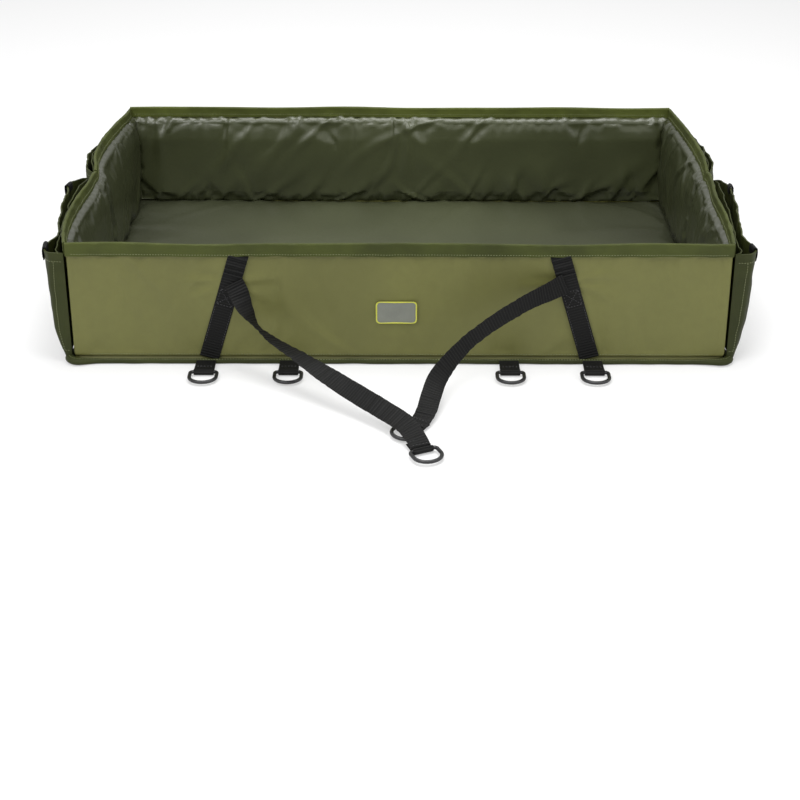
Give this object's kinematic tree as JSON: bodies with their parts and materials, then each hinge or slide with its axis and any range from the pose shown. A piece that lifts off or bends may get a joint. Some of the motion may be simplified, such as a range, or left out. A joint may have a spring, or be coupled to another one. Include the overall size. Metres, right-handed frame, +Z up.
{
  "type": "unhooking mat",
  "caption": "Padded folding fish-unhooking mat: soft tray with upright padded walls, corner gussets, D-rings, free carry straps and closing tabs; the halves hinge along the middle.",
  "frame": {"origin": "on the ground under the middle of the floor's fold line", "axes": "+X along the mat's length to the right, -Y towards the front wall with the carry straps, +Z up"},
  "size_m": [1.0726, 1.1415, 0.2],
  "materials": {
    "outer_nylon": "coated nylon, olive, satin",
    "binding_nylon": "nylon binding and gusset cloth, dark green, matt",
    "wall_liner": "puckered coated liner of the walls, dark grey-green, shiny",
    "floor_liner": "soft coated liner of the floor, grey-green, satin",
    "closed_cell_foam": "closed-cell foam, grey, matt, hidden inside",
    "webbing": "polypropylene webbing, black, ribbed",
    "ring_plastic": "moulded plastic, black, satin",
    "patch_cloth": "blank woven patch, grey, matt"
  },
  "bodies": {
    "rear_half": {"rear_base_cloth": "outer_nylon", "rear_floor_foam": "closed_cell_foam", "rear_floor_liner": "floor_liner", "rear_floor_welt": "binding_nylon", "fold_strip": "outer_nylon"},
    "front_half": {"front_base_cloth": "outer_nylon", "front_floor_foam": "closed_cell_foam", "front_floor_liner": "floor_liner", "front_floor_welt": "binding_nylon", "left_outer_loop": "webbing", "left_inner_loop": "webbing", "right_inner_loop": "webbing", "right_outer_loop": "webbing"},
    "front_wall": {"front_wall_outer_cloth": "outer_nylon", "front_wall_foam": "closed_cell_foam", "front_wall_liner": "wall_liner", "front_wall_binding": "binding_nylon", "left_wall_strap": "webbing", "right_wall_strap": "webbing", "front_patch": "patch_cloth"},
    "back_wall": {"back_wall_outer_cloth": "outer_nylon", "back_wall_foam": "closed_cell_foam", "back_wall_liner": "wall_liner", "back_wall_binding": "binding_nylon"},
    "left_front_end": {"left_front_end_outer_cloth": "outer_nylon", "left_front_end_foam": "closed_cell_foam", "left_front_end_liner": "wall_liner", "left_front_end_binding": "binding_nylon", "left_front_gusset": "binding_nylon", "left_nose_tab": "webbing", "left_gusset_tab": "webbing"},
    "right_front_end": {"right_front_end_outer_cloth": "outer_nylon", "right_front_end_foam": "closed_cell_foam", "right_front_end_liner": "wall_liner", "right_front_end_binding": "binding_nylon", "right_front_gusset": "binding_nylon", "right_nose_tab": "webbing", "right_gusset_tab": "webbing"},
    "left_rear_end": {"left_rear_end_outer_cloth": "outer_nylon", "left_rear_end_foam": "closed_cell_foam", "left_rear_end_liner": "wall_liner", "left_rear_end_binding": "binding_nylon", "left_rear_gusset": "binding_nylon"},
    "right_rear_end": {"right_rear_end_outer_cloth": "outer_nylon", "right_rear_end_foam": "closed_cell_foam", "right_rear_end_liner": "wall_liner", "right_rear_end_binding": "binding_nylon", "right_rear_gusset": "binding_nylon"},
    "left_outer_ring": {"left_outer_ring": "ring_plastic"},
    "left_inner_ring": {"left_inner_ring": "ring_plastic"},
    "right_inner_ring": {"right_inner_ring": "ring_plastic"},
    "right_outer_ring": {"right_outer_ring": "ring_plastic"},
    "left_carry_strap": {"left_carry_strap": "webbing"},
    "right_carry_strap": {"right_carry_strap": "webbing"},
    "left_carry_ring": {"left_carry_ring": "ring_plastic"},
    "right_carry_ring": {"right_carry_ring": "ring_plastic"},
    "left_closing_tab": {"left_closing_tab": "webbing"},
    "right_closing_tab": {"right_closing_tab": "webbing"},
    "left_closing_tab_tip": {"left_closing_tab_tip": "webbing"},
    "right_closing_tab_tip": {"right_closing_tab_tip": "webbing"}
  },
  "joints": [
    {"name": "floor_fold", "type": "hinge", "parent": "rear_half", "child": "front_half", "pos_m": [0, 0, 0.048], "axis": [-1, 0, 0], "range_deg": [0, 180], "deforming": ["left_front_end_outer_cloth", "left_front_end_foam", "left_front_end_liner", "left_front_end_binding", "left_rear_end_outer_cloth", "left_rear_end_foam", "left_rear_end_liner", "left_rear_end_binding", "right_front_end_outer_cloth", "right_front_end_foam", "right_front_end_liner", "right_front_end_binding", "right_rear_end_outer_cloth", "right_rear_end_foam", "right_rear_end_liner", "right_rear_end_binding", "left_front_gusset", "left_rear_gusset", "right_front_gusset", "right_rear_gusset", "left_nose_tab", "left_gusset_tab", "right_nose_tab", "right_gusset_tab", "fold_strip"]},
    {"name": "front_wall_fold", "type": "hinge", "parent": "front_half", "child": "front_wall", "pos_m": [0, -0.314, 0.0319], "axis": [-1, 0, 0], "range_deg": [0, 90]},
    {"name": "back_wall_fold", "type": "hinge", "parent": "rear_half", "child": "back_wall", "pos_m": [0, 0.314, 0.0319], "axis": [1, 0, 0], "range_deg": [0, 90]},
    {"name": "left_front_end_fold", "type": "hinge", "parent": "front_half", "child": "left_front_end", "pos_m": [-0.489, 0, 0.0183], "axis": [0, 1, 0], "range_deg": [0, 90]},
    {"name": "left_rear_end_fold", "type": "hinge", "parent": "rear_half", "child": "left_rear_end", "pos_m": [-0.489, 0, 0.0183], "axis": [0, 1, 0], "range_deg": [0, 90]},
    {"name": "right_front_end_fold", "type": "hinge", "parent": "front_half", "child": "right_front_end", "pos_m": [0.489, 0, 0.0183], "axis": [0, -1, 0], "range_deg": [0, 90]},
    {"name": "right_rear_end_fold", "type": "hinge", "parent": "rear_half", "child": "right_rear_end", "pos_m": [0.489, 0, 0.0183], "axis": [0, -1, 0], "range_deg": [0, 90]},
    {"name": "left_carry_swing", "type": "hinge", "parent": "front_wall", "child": "left_carry_strap", "pos_m": [-0.249, -0.3271, 0.137], "axis": [1, 0, 0], "range_deg": [0, 60], "deforming": ["left_carry_strap"]},
    {"name": "right_carry_swing", "type": "hinge", "parent": "front_wall", "child": "right_carry_strap", "pos_m": [0.249, -0.3271, 0.137], "axis": [1, 0, 0], "range_deg": [0, 60], "deforming": ["right_carry_strap"]},
    {"name": "left_carry_ring_swivel", "type": "hinge", "parent": "left_carry_strap", "child": "left_carry_ring", "pos_m": [0.03279, -0.60002, 0.006], "axis": [-0.9138, -0.4061, 0], "range_deg": [0, 100]},
    {"name": "right_carry_ring_swivel", "type": "hinge", "parent": "right_carry_strap", "child": "right_carry_ring", "pos_m": [0.01808, -0.53861, 0.0056], "axis": [-0.8192, 0.5735, 0], "range_deg": [0, 100]},
    {"name": "left_outer_ring_swivel", "type": "hinge", "parent": "front_half", "child": "left_outer_ring", "pos_m": [-0.296, -0.3664, 0.0055], "axis": [-1, 0, 0], "range_deg": [0, 100]},
    {"name": "left_inner_ring_swivel", "type": "hinge", "parent": "front_half", "child": "left_inner_ring", "pos_m": [-0.168, -0.3664, 0.0055], "axis": [-1, 0, 0], "range_deg": [0, 100]},
    {"name": "right_inner_ring_swivel", "type": "hinge", "parent": "front_half", "child": "right_inner_ring", "pos_m": [0.168, -0.3664, 0.0055], "axis": [-1, 0, 0], "range_deg": [0, 100]},
    {"name": "right_outer_ring_swivel", "type": "hinge", "parent": "front_half", "child": "right_outer_ring", "pos_m": [0.296, -0.3664, 0.0055], "axis": [-1, 0, 0], "range_deg": [0, 100]},
    {"name": "left_tab_rise", "type": "hinge", "parent": "rear_half", "child": "left_closing_tab", "pos_m": [-0.252, 0.3324, 0.0011], "axis": [1, 0, 0], "range_deg": [0, 90]},
    {"name": "left_tab_tip_turn", "type": "hinge", "parent": "left_closing_tab", "child": "left_closing_tab_tip", "pos_m": [-0.252, 0.4279, 0.0019], "axis": [1, 0, 0], "range_deg": [0, 90]},
    {"name": "right_tab_rise", "type": "hinge", "parent": "rear_half", "child": "right_closing_tab", "pos_m": [0.252, 0.3324, 0.0011], "axis": [1, 0, 0], "range_deg": [0, 90]},
    {"name": "right_tab_tip_turn", "type": "hinge", "parent": "right_closing_tab", "child": "right_closing_tab_tip", "pos_m": [0.252, 0.4279, 0.0019], "axis": [1, 0, 0], "range_deg": [0, 90]}
  ],
  "couplings": [
    {"joint": "front_wall_fold", "follows": "floor_fold", "ratio": 0.5},
    {"joint": "back_wall_fold", "follows": "floor_fold", "ratio": 0.5},
    {"joint": "left_front_end_fold", "follows": "floor_fold", "ratio": 0.5},
    {"joint": "left_rear_end_fold", "follows": "floor_fold", "ratio": 0.5},
    {"joint": "right_front_end_fold", "follows": "floor_fold", "ratio": 0.5},
    {"joint": "right_rear_end_fold", "follows": "floor_fold", "ratio": 0.5},
    {"joint": "left_carry_swing", "follows": "floor_fold", "ratio": 0.33333},
    {"joint": "right_carry_swing", "follows": "floor_fold", "ratio": 0.33333}
  ]
}
